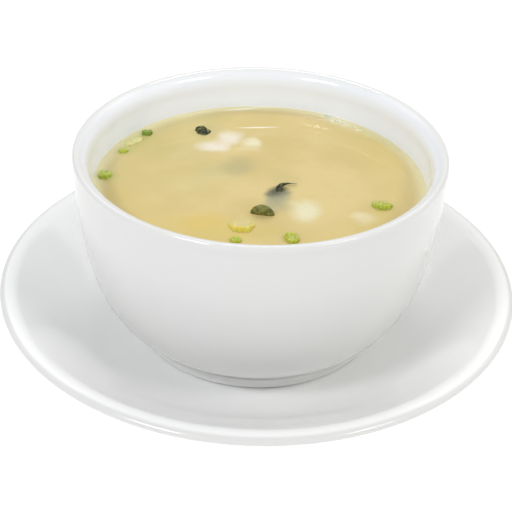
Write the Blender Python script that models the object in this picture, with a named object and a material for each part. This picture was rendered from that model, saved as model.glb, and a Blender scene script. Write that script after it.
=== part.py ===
"""Miso soup in a white porcelain bowl on its saucer, with tofu, wakame and spring onion.

The saucer stands on the plane z = 0 and is centred on the Z axis. The bowl stands in its well,
and the soup fills the bowl up to SOUP_BELOW_RIM. What floats sits in pockets cut in the soup.
Lengths are in metres, +Z is up and the garnish is laid out as seen from the -Y side.
"""

import bpy
import bmesh
import math
from mathutils import Matrix, Vector

MM = 0.001
GAP = 0.3 * MM                      # clearance between pieces that touch
SEGMENTS = 56                       # facets round the bowl, the soup and the saucer
WALL_ROWS = 10                      # facets down the bowl's wall

# Saucer
SAUCER_LIP_RADIUS = 86.1 * MM       # highest line of the lip
SAUCER_HEIGHT = 25.7 * MM
SAUCER_WELL_RADIUS = 44.0 * MM
SAUCER_WELL_LEVEL = 6.5 * MM
SAUCER_ROLL_RADIUS = 6.0 * MM       # convex turn of the upper side into the lip
SAUCER_ROLL_SLOPE = math.radians(35.0)
SAUCER_LIP_REACH = 3.0 * MM         # the lip's edge beyond its highest line
SAUCER_LIP_UP = 1.7 * MM            # from the edge up to the highest line
SAUCER_LIP_DOWN = 1.6 * MM          # from the edge down to the underside
SAUCER_FOOT_RADIUS = 50.5 * MM
SAUCER_FOOT_WIDTH = 4.0 * MM
SAUCER_FOOT_HEIGHT = 2.4 * MM

# Bowl
BOWL_BASE = SAUCER_WELL_LEVEL + GAP
BOWL_HEIGHT = 68.6 * MM
BOWL_RIM = BOWL_BASE + BOWL_HEIGHT
BODY_RADIUS = 61.7 * MM             # outer side of the wall at its widest
BODY_TOP = 3.0 * MM                 # depth below the rim of the widest place
BODY_DROP = 64.6 * MM               # from there to where the curve would close
BODY_RADIUS_POWER = 5.2             # (r / BODY_RADIUS) ** this + (drop / BODY_DROP) ** next = 1
BODY_DROP_POWER = 2.3
LIP_RADIUS = 60.9 * MM              # highest line of the lip
LIP_REACH = 1.2 * MM                # from that line to the lip's outer side
LIP_HALF_HEIGHT = 1.6 * MM
LIP_INNER_REACH = 4.2 * MM          # from that line in to the inside of the lip's roll
LIP_INNER_DROP = 6.5 * MM           # depth of the roll on the inside
LIP_WALL = BODY_RADIUS - LIP_RADIUS + LIP_INNER_REACH
WALL = 5.75 * MM                    # wall thickness from WALL_FULL_DEPTH down
WALL_FULL_DEPTH = 13.0 * MM
FOOT_RADIUS = 41.9 * MM
FOOT_TOP_RADIUS = 40.8 * MM         # narrowest place, where the body meets the foot
FOOT_ROUND = 0.6 * MM
FOOT_WIDTH = 4.2 * MM
FOOT_RECESS = 3.0 * MM              # how deep the underside is hollowed inside the foot

# Soup
SOUP_BELOW_RIM = 13.7 * MM
SOUP_LEVEL = BOWL_RIM - SOUP_BELOW_RIM

# Colours, linear, and roughness
PORCELAIN = ((0.86, 0.86, 0.85), 0.12)
SOUP = ((0.72, 0.59, 0.27), 0.18)
TOFU = ((0.86, 0.80, 0.62), 0.45)
WAKAME = ((0.035, 0.045, 0.012), 0.25)
ONION_GREEN = ((0.30, 0.42, 0.04), 0.35)
ONION_PALE = ((0.60, 0.64, 0.22), 0.35)


def material(name, look):
    """A Principled material of one colour and roughness."""
    colour, roughness = look
    made = bpy.data.materials.new(name)
    made.use_nodes = True
    shader = made.node_tree.nodes["Principled BSDF"]
    shader.inputs["Base Color"].default_value = (*colour, 1.0)
    shader.inputs["Roughness"].default_value = roughness
    return made


def shade(mesh):
    """Smooth shading, with edges over 40 degrees left sharp."""
    mesh.shade_smooth()
    mesh.set_sharp_from_angle(angle=math.radians(40.0))


def add_object(name, mesh_builder, look):
    """Turn a filled bmesh into a named object, smooth except at sharp edges."""
    bmesh.ops.recalc_face_normals(mesh_builder, faces=mesh_builder.faces)
    mesh = bpy.data.meshes.new(name)
    mesh_builder.to_mesh(mesh)
    mesh_builder.free()
    shade(mesh)
    mesh.materials.append(material(name, look))
    made = bpy.data.objects.new(name, mesh)
    bpy.context.collection.objects.link(made)
    return made


def turned(outline):
    """Spin an (r, z) outline, which starts and ends on the Z axis, about that axis."""
    builder = bmesh.new()
    points = [builder.verts.new((radius, 0.0, height)) for radius, height in outline]
    edges = [builder.edges.new(pair) for pair in zip(points, points[1:])]
    bmesh.ops.spin(builder, geom=points + edges, axis=(0, 0, 1), cent=(0, 0, 0),
                   angle=math.tau, steps=SEGMENTS, use_merge=True)
    bmesh.ops.remove_doubles(builder, verts=builder.verts, dist=0.001 * MM)
    return builder


def arc(centre, reach, start, end, count):
    """Points on an ellipse round centre, with half axes reach, from start to end in degrees."""
    points = []
    for step in range(count):
        angle = math.radians(start + (end - start) * step / (count - 1))
        points.append((centre[0] + reach[0] * math.cos(angle), centre[1] + reach[1] * math.sin(angle)))
    return points


def sweep_between(start, start_slope, end, end_slope, count):
    """A smooth cubic stretch between two points of an outline, leaving out both ends."""
    length = math.dist(start, end)
    points = []
    for step in range(1, count + 1):
        t = step / (count + 1)
        weights = (2 * t**3 - 3 * t**2 + 1, t**3 - 2 * t**2 + t, 3 * t**2 - 2 * t**3, t**3 - t**2)
        points.append(tuple(
            weights[0] * start[axis] + weights[2] * end[axis]
            + length * (weights[1] * start_slope[axis] + weights[3] * end_slope[axis])
            for axis in (0, 1)))
    return points


# ---------------------------------------------------------------- saucer

def saucer_outline():
    """From the axis along the upper side, round the lip and back under to the foot ring."""
    slope = (math.cos(SAUCER_ROLL_SLOPE), math.sin(SAUCER_ROLL_SLOPE))
    roll_start = (SAUCER_LIP_RADIUS - SAUCER_ROLL_RADIUS * slope[1],
                  SAUCER_HEIGHT - SAUCER_ROLL_RADIUS * (1 - slope[0]))
    well_edge = (SAUCER_WELL_RADIUS, SAUCER_WELL_LEVEL)
    upper = [(0.0, SAUCER_WELL_LEVEL), well_edge]
    upper += sweep_between(well_edge, (1, 0), roll_start, slope, 4)
    upper += [roll_start]

    edge_level = SAUCER_HEIGHT - SAUCER_LIP_UP
    centre = (SAUCER_LIP_RADIUS, edge_level)
    lip = arc(centre, (SAUCER_LIP_REACH, SAUCER_LIP_UP), 90, 0, 4)
    lip += arc(centre, (SAUCER_LIP_REACH, SAUCER_LIP_DOWN), 0, -90, 4)[1:]

    foot_top = (SAUCER_FOOT_RADIUS + 1.5 * MM, SAUCER_FOOT_HEIGHT)
    under = sweep_between(lip[-1], (-slope[0], -slope[1]), foot_top, (-1, 0), 3)
    inner_radius = SAUCER_FOOT_RADIUS - SAUCER_FOOT_WIDTH
    foot = [foot_top, (SAUCER_FOOT_RADIUS, 0.0), (inner_radius, 0.0),
            (inner_radius - 0.8 * MM, SAUCER_FOOT_HEIGHT), (0.0, SAUCER_FOOT_HEIGHT)]
    return upper + lip + under + foot


# ---------------------------------------------------------------- bowl and soup

def body_point(turn):
    """Point on the outer wall, from its widest place (turn 0) towards the base (turn 90 degrees)."""
    radius = BODY_RADIUS * math.cos(turn) ** (2 / BODY_RADIUS_POWER)
    drop = BODY_DROP * math.sin(turn) ** (2 / BODY_DROP_POWER)
    return radius, BOWL_RIM - BODY_TOP - drop


def last_turn():
    """Where the body curve has come in to the top of the foot."""
    share = (FOOT_TOP_RADIUS / BODY_RADIUS) ** (BODY_RADIUS_POWER / 2)
    return math.acos(share)


def wall_turns():
    """Turns down the wall, closer at the top where a small turn goes a long way down."""
    return [last_turn() * (step / WALL_ROWS) ** 1.4 for step in range(1, WALL_ROWS + 1)]


def inner_point(turn, clearance=0.0):
    """Point inside the wall: the outer point moved in by the wall's thickness there."""
    nudge = 0.001
    above, below = body_point(turn - nudge), body_point(turn + nudge)
    length = math.dist(above, below)
    inward = ((below[1] - above[1]) / length, (above[0] - below[0]) / length)
    radius, height = body_point(turn)
    share = (BOWL_RIM - LIP_INNER_DROP - height) / (WALL_FULL_DEPTH - LIP_INNER_DROP)
    share = min(1.0, max(0.0, share))
    thickness = LIP_WALL + (WALL - LIP_WALL) * share * share * (3 - 2 * share) + clearance
    return radius + inward[0] * thickness, height + inward[1] * thickness


def bowl_outline():
    """From the axis under the base, out over the foot, up the wall, over the lip and back inside."""
    inner_foot = FOOT_RADIUS - FOOT_WIDTH
    recess = BOWL_BASE + FOOT_RECESS
    foot = [(0.0, recess), (inner_foot - 1.0 * MM, recess),
            (inner_foot + FOOT_ROUND, BOWL_BASE), (FOOT_RADIUS - FOOT_ROUND, BOWL_BASE),
            (FOOT_RADIUS, BOWL_BASE + FOOT_ROUND)]
    turns = wall_turns()
    outside = [body_point(turn) for turn in reversed(turns)]
    lip = arc((LIP_RADIUS, BOWL_RIM - LIP_HALF_HEIGHT), (LIP_REACH, LIP_HALF_HEIGHT), 0, 90, 4)
    lip += arc((LIP_RADIUS, BOWL_RIM - LIP_INNER_DROP), (LIP_INNER_REACH, LIP_INNER_DROP),
               90, 180, 5)[1:]
    inside = [inner_point(turn) for turn in turns]
    inside = [point for point in inside if point[1] < lip[-1][1] - 0.5 * MM]
    return foot + outside + lip + inside + [(0.0, inside[-1][1])]


def soup_outline():
    """From the middle of the surface out to the wall, down along it and in along the floor."""
    wall = [inner_point(turn, GAP) for turn in wall_turns()]
    upper = max(index for index, point in enumerate(wall) if point[1] >= SOUP_LEVEL)
    above, below = wall[upper], wall[upper + 1]
    share = (above[1] - SOUP_LEVEL) / (above[1] - below[1])
    edge = (above[0] + share * (below[0] - above[0]), SOUP_LEVEL)
    return [(0.0, SOUP_LEVEL), edge] + wall[upper + 1:] + [(0.0, wall[-1][1])]


# ---------------------------------------------------------------- garnish

def onion_slice(across, along, height, dip, power, turn, tilt, place, grow=0.0):
    """A slice of spring onion: a disc with a dip in its upper side, tilted and set at place.

    power is 2 for an oval outline and more for a squarer one, and grow thickens the slice all
    round, which makes the cutter for its pocket."""
    steps = 12
    half = height / 2 + grow
    section = [(0.5, half - dip / 2), (0.86, half), (1.0, 0.0), (0.86, -half)]
    builder = bmesh.new()
    rings = []
    for share, level in section:
        ring = []
        for step in range(steps):
            cosine, sine = math.cos(math.tau * step / steps), math.sin(math.tau * step / steps)
            reach = (abs(cosine) ** power + abs(sine) ** power) ** (-1 / power)
            ring.append(builder.verts.new((share * reach * cosine * (across / 2 + grow),
                                           share * reach * sine * (along / 2 + grow), level)))
        rings.append(ring)
    join_rings(builder, rings)
    for ring, level in ((rings[0], half - dip), (rings[-1], -half)):
        close_ring(builder, ring, (0.0, 0.0, level))
    lie = Matrix.Rotation(math.radians(turn), 4, "Z") @ Matrix.Rotation(math.radians(tilt), 4, "X")
    builder.transform(Matrix.Translation(place) @ lie)
    return builder


def join_rings(builder, rings):
    """Faces between each ring of vertices and the next."""
    for low, high in zip(rings, rings[1:]):
        for side in range(len(low)):
            follow = (side + 1) % len(low)
            builder.faces.new((low[side], low[follow], high[follow], high[side]))


def close_ring(builder, ring, tip):
    """Close a ring of vertices with a fan of faces to tip."""
    end = builder.verts.new(tip)
    for side in range(len(ring)):
        builder.faces.new((ring[side], ring[(side + 1) % len(ring)], end))


def curve_point(points, t):
    """Catmull-Rom point at t (0 to 1) on a smooth curve through points."""
    spans = len(points) - 1
    index = min(int(t * spans), spans - 1)
    u = t * spans - index
    p1, p2 = points[index], points[index + 1]
    p0 = points[index - 1] if index else 2 * p1 - p2
    p3 = points[index + 2] if index + 2 < len(points) else 2 * p2 - p1
    return 0.5 * (2 * p1 + (p2 - p0) * u + (2 * p0 - 5 * p1 + 4 * p2 - p3) * u**2
                  + (3 * p1 - p0 - 3 * p2 + p3) * u**3)


def leaf(route, half_width, thickness, widest, facing, cupped, taper, grow=0.0):
    """A curled leaf: a lens-shaped section swept along route, tapering to both tips.

    widest (0 to 1) says where along it the leaf is widest, facing is the way its width lies,
    cupped bends the section into a trough, taper says how slender the tips are, and grow
    thickens the leaf all round, which makes the cutter for its pocket."""
    stations, sides = 8, 8
    lean = math.log(0.5) / math.log(widest)
    points = [Vector(point) for point in route]
    builder = bmesh.new()
    rings = []
    for station in range(1, stations):
        t = station / stations
        centre = curve_point(points, t)
        along = (curve_point(points, t + 0.02) - curve_point(points, t - 0.02)).normalized()
        wide = (Vector(facing) - along * along.dot(Vector(facing))).normalized()
        normal = along.cross(wide)
        swell = math.sin(math.pi * t**lean) ** taper
        across = half_width * swell + grow
        deep = thickness / 2 * (0.3 + 0.7 * swell) + grow
        ring = []
        for side in range(sides):
            angle = math.tau * side / sides
            bend = cupped * half_width * swell * math.cos(angle) ** 2
            offset = wide * (across * math.cos(angle)) + normal * (deep * math.sin(angle) - bend)
            ring.append(builder.verts.new(centre + offset))
        rings.append(ring)
    for tip, inner, ring in ((points[0], curve_point(points, 0.05), rings[0]),
                             (points[-1], curve_point(points, 0.95), rings[-1])):
        close_ring(builder, ring, tip + (tip - inner).normalized() * grow * 2)
    join_rings(builder, rings)
    return builder


def tofu_piece(length, width, depth, pinch, turn, tilt, place, grow=0.0):
    """A soft broken block of tofu: rounded edges, pinched long sides and an uneven top."""
    builder = bmesh.new()
    bmesh.ops.create_cube(builder, size=2.0)
    bmesh.ops.subdivide_edges(builder, edges=builder.edges[:], cuts=4, use_grid_fill=True)
    for vert in builder.verts:
        ball = vert.co.normalized() * 1.15
        soft = vert.co.lerp(ball, 0.7)
        waist = 1 - pinch * math.cos(soft.x * math.pi / 2) ** 2
        skew = 0.16 * math.sin(2.4 * soft.x)
        wave = 0.04 * math.sin(3.6 * soft.x + 2.2 * soft.y)
        vert.co = Vector((soft.x * (length / 2 + grow),
                          (soft.y * waist + skew) * (width / 2 + grow),
                          (soft.z + wave) * (depth / 2 + grow)))
    lie = Matrix.Rotation(math.radians(turn), 4, "Z") @ Matrix.Rotation(math.radians(tilt), 4, "Y")
    builder.transform(Matrix.Translation(place) @ lie)
    return builder


def on_soup(x, y, above):
    """A place over the soup: x and y in millimetres and the height above its surface."""
    return Vector((x * MM, y * MM, SOUP_LEVEL + above * MM))


# Each slice: across, along, height and dip in millimetres, the squareness of its outline, turn
# and tilt in degrees, and the place of its middle. Most lie round the edge of the soup, with
# their near side raised.
SLICES = {
    "onion_front": (ONION_PALE, 8.8, 8.6, 2.6, 0.5, 2.0, 0, -18, (-5.3, -28.2, -0.6)),
    "onion_rim_left": (ONION_GREEN, 3.6, 3.2, 2.0, 0.2, 2.4, 10, -6, (-7.1, -37.2, 0.0)),
    "onion_rim_right": (ONION_GREEN, 4.0, 4.6, 2.8, 0.2, 3.0, 10, 4, (10.5, -35.6, 0.0)),
    "onion_right": (ONION_GREEN, 6.2, 6.2, 2.6, 0.3, 2.2, -8, -20, (40.3, -13.4, -0.2)),
    "onion_left": (ONION_GREEN, 4.2, 4.8, 2.6, 0.2, 2.2, 15, -8, (-52.4, 0.9, 0.0)),
    "onion_back_low": (ONION_GREEN, 3.3, 3.2, 2.0, 0.5, 2.0, 0, -16, (-47.8, 18.2, -0.1)),
    "onion_back_pale": (ONION_PALE, 7.6, 5.0, 2.0, 0.1, 2.6, 52, -5, (-45.0, 25.6, -0.5)),
    "onion_back_high": (ONION_GREEN, 3.6, 3.2, 2.8, 0.2, 3.6, 8, -12, (-40.6, 31.6, -0.1)),
}

# Each leaf: route as places over the soup, half width and thickness in millimetres, where it is
# widest, the way its width lies, how much it is cupped, and how slender its tips are.
LEAVES = {
    "wakame_back": ([(-24.0, 34.6, -0.8), (-22.2, 34.3, 0.5), (-19.9, 33.5, 0.6), (-17.2, 34.8, -0.5)],
                    2.0, 1.1, 0.42, (0.1, -0.8, -0.35), 0.25, 0.7),
    "wakame_middle": ([(12.4, -1.3, 0.6), (9.6, -2.1, 1.1), (7.2, -3.5, 1.1), (6.3, -5.2, 0.5),
                       (6.8, -7.2, -1.6)],
                      1.2, 1.8, 0.68, (-0.8, -0.3, -0.5), 0.1, 1.2),
    "wakame_front": ([(-2.1, -20.5, -0.8), (-0.8, -20.4, 0.8), (1.0, -20.6, 1.3), (3.0, -21.0, 0.7),
                      (4.4, -21.6, -0.8)],
                     1.4, 4.6, 0.47, (0.0, -1.0, 0.0), 0.0, 0.7),
}

# The tofu: length, width and depth in millimetres, how far its sides are pinched, turn, tilt and
# place. Its upper side just breaks the surface.
TOFU_PIECES = {
    "tofu_back": (21.0, 9.0, 7.0, 0.3, 48, 0, (-13.8, 27.4, -3.45)),
}


def slice_builder(spec, grow=0.0):
    """The solid of one entry of SLICES."""
    across, along, height, dip, power, turn, tilt, place = spec[1:]
    return onion_slice(across * MM, along * MM, height * MM, dip * MM, power, turn, tilt,
                       on_soup(*place), grow)


def leaf_builder(spec, grow=0.0):
    """The solid of one entry of LEAVES."""
    route, half_width, thickness, widest, facing, cupped, taper = spec
    return leaf([on_soup(*point) for point in route], half_width * MM, thickness * MM,
                widest, facing, cupped, taper, grow)


def tofu_builder(spec, grow=0.0):
    """The solid of one entry of TOFU_PIECES."""
    length, width, depth, pinch, turn, tilt, place = spec
    return tofu_piece(length * MM, width * MM, depth * MM, pinch, turn, tilt,
                      on_soup(*place), grow)


def add_garnish():
    """Add each floating piece, and return a cutter for the pocket of each."""
    cutters = []
    kinds = [(SLICES, slice_builder, None), (LEAVES, leaf_builder, WAKAME),
             (TOFU_PIECES, tofu_builder, TOFU)]
    for specs, make, look in kinds:
        for name, spec in specs.items():
            add_object(name, make(spec), look or spec[0])
            cutters.append(add_object(name + "_pocket", make(spec, GAP), SOUP))
    return cutters


def cut_pockets(soup, cutters):
    """Cut each cutter out of the soup, and apply the cuts so that their edges shade sharp."""
    for cutter in cutters:
        pocket = soup.modifiers.new(cutter.name, "BOOLEAN")
        pocket.operation = "DIFFERENCE"
        pocket.object = cutter
    evaluated = soup.evaluated_get(bpy.context.evaluated_depsgraph_get())
    cut = bpy.data.meshes.new_from_object(evaluated)
    soup.modifiers.clear()
    soup.data = cut
    shade(cut)
    for cutter in cutters:
        bpy.data.objects.remove(cutter)


def build():
    """Make the whole object in an empty scene."""
    for leftover in list(bpy.data.objects):
        bpy.data.objects.remove(leftover)
    add_object("saucer", turned(saucer_outline()), PORCELAIN)
    add_object("bowl", turned(bowl_outline()), PORCELAIN)
    soup = add_object("soup", turned(soup_outline()), SOUP)
    cut_pockets(soup, add_garnish())


build()
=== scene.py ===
"""Looks of the miso soup: glazed porcelain, cloudy soup, tofu, wakame and spring onion.

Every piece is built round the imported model. Lengths are in metres, and the lists of things that
float or lie under the surface give millimetres from the bowl's axis, as on_soup() turns them into
places.
"""

import math
import random

import bmesh
import bpy
import numpy as np
from mathutils import Matrix, Vector, kdtree, noise


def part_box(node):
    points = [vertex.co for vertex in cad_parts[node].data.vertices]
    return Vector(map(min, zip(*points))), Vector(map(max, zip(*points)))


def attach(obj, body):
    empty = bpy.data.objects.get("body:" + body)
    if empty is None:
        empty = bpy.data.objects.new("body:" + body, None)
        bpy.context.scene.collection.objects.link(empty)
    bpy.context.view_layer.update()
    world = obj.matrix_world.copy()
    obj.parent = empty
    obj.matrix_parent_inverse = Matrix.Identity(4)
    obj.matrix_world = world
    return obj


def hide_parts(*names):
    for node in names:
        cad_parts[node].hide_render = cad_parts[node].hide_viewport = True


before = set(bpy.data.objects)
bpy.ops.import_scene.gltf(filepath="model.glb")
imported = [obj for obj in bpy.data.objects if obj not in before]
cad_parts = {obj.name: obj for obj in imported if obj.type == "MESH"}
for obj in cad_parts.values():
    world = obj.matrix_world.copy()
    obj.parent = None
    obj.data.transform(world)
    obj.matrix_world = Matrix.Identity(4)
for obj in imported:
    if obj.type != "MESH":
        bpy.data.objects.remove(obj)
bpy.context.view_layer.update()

MM = 0.001

# Places and outer sizes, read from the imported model
SAUCER_LOW, SAUCER_HIGH = (Vector(corner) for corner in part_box("saucer"))
BOWL_LOW, BOWL_HIGH = (Vector(corner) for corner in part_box("bowl"))
SOUP_LOW, SOUP_HIGH = (Vector(corner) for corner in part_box("soup"))
SAUCER_HEIGHT = SAUCER_HIGH.z
SAUCER_EDGE_RADIUS = SAUCER_HIGH.x
BOWL_BASE = BOWL_LOW.z
BOWL_RIM = BOWL_HIGH.z
LIP_OUTER_RADIUS = BOWL_HIGH.x
SOUP_LEVEL = SOUP_HIGH.z

# Saucer outline
SAUCER_LIP_REACH = 3.0 * MM
SAUCER_LIP_RADIUS = SAUCER_EDGE_RADIUS - SAUCER_LIP_REACH
SAUCER_LIP_UP = 1.7 * MM
SAUCER_LIP_DOWN = 1.6 * MM
SAUCER_WELL_RADIUS = 44.0 * MM
SAUCER_WELL_LEVEL = BOWL_BASE - 0.3 * MM
SAUCER_ROLL_RADIUS = 6.0 * MM
SAUCER_ROLL_SLOPE = math.radians(35.0)
SAUCER_FOOT_RADIUS = 50.5 * MM
SAUCER_FOOT_WIDTH = 4.0 * MM
SAUCER_FOOT_HEIGHT = 2.4 * MM

# Bowl outline
BODY_RADIUS = 61.7 * MM
BODY_TOP = 3.0 * MM
BODY_DROP = 64.6 * MM
BODY_RADIUS_POWER = 5.2
BODY_DROP_POWER = 2.3
LIP_REACH = 1.2 * MM
LIP_RADIUS = LIP_OUTER_RADIUS - LIP_REACH
LIP_HALF_HEIGHT = 1.6 * MM
LIP_INNER_REACH = 4.2 * MM
LIP_INNER_DROP = 6.5 * MM
LIP_WALL = BODY_RADIUS - LIP_RADIUS + LIP_INNER_REACH
WALL = 5.75 * MM
WALL_FULL_DEPTH = 13.0 * MM
FOOT_RADIUS = 41.9 * MM
FOOT_TOP_RADIUS = 40.8 * MM
FOOT_ROUND = 0.6 * MM
FOOT_WIDTH = 4.2 * MM
FOOT_RECESS = 3.0 * MM

# Fineness of the turned pieces
BOWL_STEPS = 288
SAUCER_STEPS = 320
SOUP_STEPS = 448


# ---------------------------------------------------------------- meshes

def finish_piece(name, builder, material, slot, *replaced, smooth=True):
    """Turn a bmesh into a piece that rides on the part, standing for the replaced nodes."""
    bmesh.ops.recalc_face_normals(builder, faces=builder.faces)
    mesh = bpy.data.meshes.new(name)
    builder.to_mesh(mesh)
    builder.free()
    if smooth:
        mesh.shade_smooth()
    mesh.materials.append(material)
    piece = bpy.data.objects.new(name, mesh)
    bpy.context.collection.objects.link(piece)
    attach(piece, "root")
    if replaced:
        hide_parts(*replaced)
    return piece


def turned(outline, steps):
    """A closed bmesh: the (r, z) outline, from axis to axis, spun about Z."""
    builder = bmesh.new()
    rings = []
    for radius, height in outline:
        if radius < 1e-9:
            rings.append([builder.verts.new((0.0, 0.0, height))])
            continue
        rings.append([builder.verts.new((radius * math.cos(math.tau * step / steps),
                                         radius * math.sin(math.tau * step / steps), height))
                      for step in range(steps)])
    for first, second in zip(rings, rings[1:]):
        for step in range(steps):
            follow = (step + 1) % steps
            if len(first) == 1:
                builder.faces.new((first[0], second[step], second[follow]))
            elif len(second) == 1:
                builder.faces.new((first[step], second[0], first[follow]))
            else:
                builder.faces.new((first[step], second[step], second[follow], first[follow]))
    return builder


def arc(centre, reach, start, end, count):
    """Points on an ellipse round centre, with half axes reach, from start to end in degrees."""
    angles = [math.radians(start + (end - start) * step / (count - 1)) for step in range(count)]
    return [(centre[0] + reach[0] * math.cos(angle), centre[1] + reach[1] * math.sin(angle))
            for angle in angles]


def sweep_between(start, start_slope, end, end_slope, count):
    """A smooth cubic stretch between two points of an outline, leaving out both ends."""
    length = math.dist(start, end)
    points = []
    for step in range(1, count + 1):
        t = step / (count + 1)
        weights = (2 * t**3 - 3 * t**2 + 1, t**3 - 2 * t**2 + t, 3 * t**2 - 2 * t**3, t**3 - t**2)
        points.append(tuple(
            weights[0] * start[axis] + weights[2] * end[axis]
            + length * (weights[1] * start_slope[axis] + weights[3] * end_slope[axis])
            for axis in (0, 1)))
    return points


def rounded(corner, before, after, radius, count=5):
    """Points that round a corner of an outline off, between the points before and after it."""
    corner, before, after = Vector(corner), Vector(before), Vector(after)
    start = corner + (before - corner).normalized() * radius
    end = corner + (after - corner).normalized() * radius
    points = []
    for step in range(count):
        t = step / (count - 1)
        points.append(tuple(start * (1 - t) ** 2 + corner * 2 * t * (1 - t) + end * t**2))
    return points


# ---------------------------------------------------------------- outlines

def saucer_outline():
    """From the axis along the upper side, round the lip and back under to the foot ring."""
    slope = (math.cos(SAUCER_ROLL_SLOPE), math.sin(SAUCER_ROLL_SLOPE))
    roll_centre = (SAUCER_LIP_RADIUS, SAUCER_HEIGHT - SAUCER_ROLL_RADIUS)
    roll = arc(roll_centre, (SAUCER_ROLL_RADIUS, SAUCER_ROLL_RADIUS),
               90 + math.degrees(SAUCER_ROLL_SLOPE), 90, 12)
    well_edge = (SAUCER_WELL_RADIUS, SAUCER_WELL_LEVEL)
    upper = [(0.0, SAUCER_WELL_LEVEL), (SAUCER_WELL_RADIUS / 2, SAUCER_WELL_LEVEL), well_edge]
    upper += sweep_between(well_edge, (1, 0), roll[0], slope, 36) + roll

    centre = (SAUCER_LIP_RADIUS, SAUCER_HEIGHT - SAUCER_LIP_UP)
    lip = arc(centre, (SAUCER_LIP_REACH, SAUCER_LIP_UP), 90, 0, 12)[1:]
    lip += arc(centre, (SAUCER_LIP_REACH, SAUCER_LIP_DOWN), 0, -90, 12)[1:]

    foot_top = (SAUCER_FOOT_RADIUS + 1.5 * MM, SAUCER_FOOT_HEIGHT)
    under = sweep_between(lip[-1], (-slope[0], -slope[1]), foot_top, (-1, 0), 24)
    outer = (SAUCER_FOOT_RADIUS, 0.0)
    inner = (SAUCER_FOOT_RADIUS - SAUCER_FOOT_WIDTH, 0.0)
    inner_top = (inner[0] - 0.8 * MM, SAUCER_FOOT_HEIGHT)
    foot = [foot_top] + rounded(outer, foot_top, inner, 0.7 * MM)
    foot += rounded(inner, outer, inner_top, 0.7 * MM)
    foot += rounded(inner_top, inner, (0.0, SAUCER_FOOT_HEIGHT), 0.8 * MM)
    return upper + lip + under + foot + [(0.0, SAUCER_FOOT_HEIGHT)]


def body_point(turn):
    """Point on the outer wall, from its widest place (turn 0) towards the base (turn 90 degrees)."""
    radius = BODY_RADIUS * math.cos(turn) ** (2 / BODY_RADIUS_POWER)
    drop = BODY_DROP * math.sin(turn) ** (2 / BODY_DROP_POWER)
    return radius, BOWL_RIM - BODY_TOP - drop


def wall_turns(count):
    """Turns down the wall to the top of the foot, closer together at the top."""
    last = math.acos((FOOT_TOP_RADIUS / BODY_RADIUS) ** (BODY_RADIUS_POWER / 2))
    return [last * (step / count) ** 1.4 for step in range(1, count + 1)]


def inner_point(turn):
    """Point inside the wall: the outer point moved in by the wall's thickness there."""
    nudge = 0.001
    above, below = body_point(turn - nudge), body_point(turn + nudge)
    length = math.dist(above, below)
    inward = ((below[1] - above[1]) / length, (above[0] - below[0]) / length)
    radius, height = body_point(turn)
    share = (BOWL_RIM - LIP_INNER_DROP - height) / (WALL_FULL_DEPTH - LIP_INNER_DROP)
    share = min(1.0, max(0.0, share))
    thickness = LIP_WALL + (WALL - LIP_WALL) * share * share * (3 - 2 * share)
    return radius + inward[0] * thickness, height + inward[1] * thickness


def bowl_outline():
    """From the axis under the base, out over the foot, up the wall, over the lip and back inside."""
    turns = wall_turns(52)
    outside = [body_point(turn) for turn in reversed(turns)]
    inner_foot = FOOT_RADIUS - FOOT_WIDTH
    recess = (inner_foot - 1.0 * MM, BOWL_BASE + FOOT_RECESS)
    inner = (inner_foot + FOOT_ROUND, BOWL_BASE)
    outer = (FOOT_RADIUS, BOWL_BASE)
    foot = [(0.0, recess[1])] + rounded(recess, (0.0, recess[1]), inner, 0.8 * MM)
    foot += rounded(inner, recess, outer, 0.6 * MM)
    foot += rounded(outer, inner, outside[0], 1.0 * MM)
    lip = arc((LIP_RADIUS, BOWL_RIM - LIP_HALF_HEIGHT), (LIP_REACH, LIP_HALF_HEIGHT), 0, 90, 12)
    lip += arc((LIP_RADIUS, BOWL_RIM - LIP_INNER_DROP), (LIP_INNER_REACH, LIP_INNER_DROP),
               90, 180, 16)[1:]
    inside = [inner_point(turn) for turn in turns]
    inside = [point for point in inside if point[1] < lip[-1][1] - 0.3 * MM]
    return foot + outside + lip + inside + [(0.0, inside[-1][1])]


def inner_radius(height):
    """Radius of the bowl's inner wall at a height."""
    wall = [inner_point(turn) for turn in wall_turns(60)]
    heights = [point[1] for point in reversed(wall)]
    radii = [point[0] for point in reversed(wall)]
    return float(np.interp(height, heights, radii))


# ---------------------------------------------------------------- node materials

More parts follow.
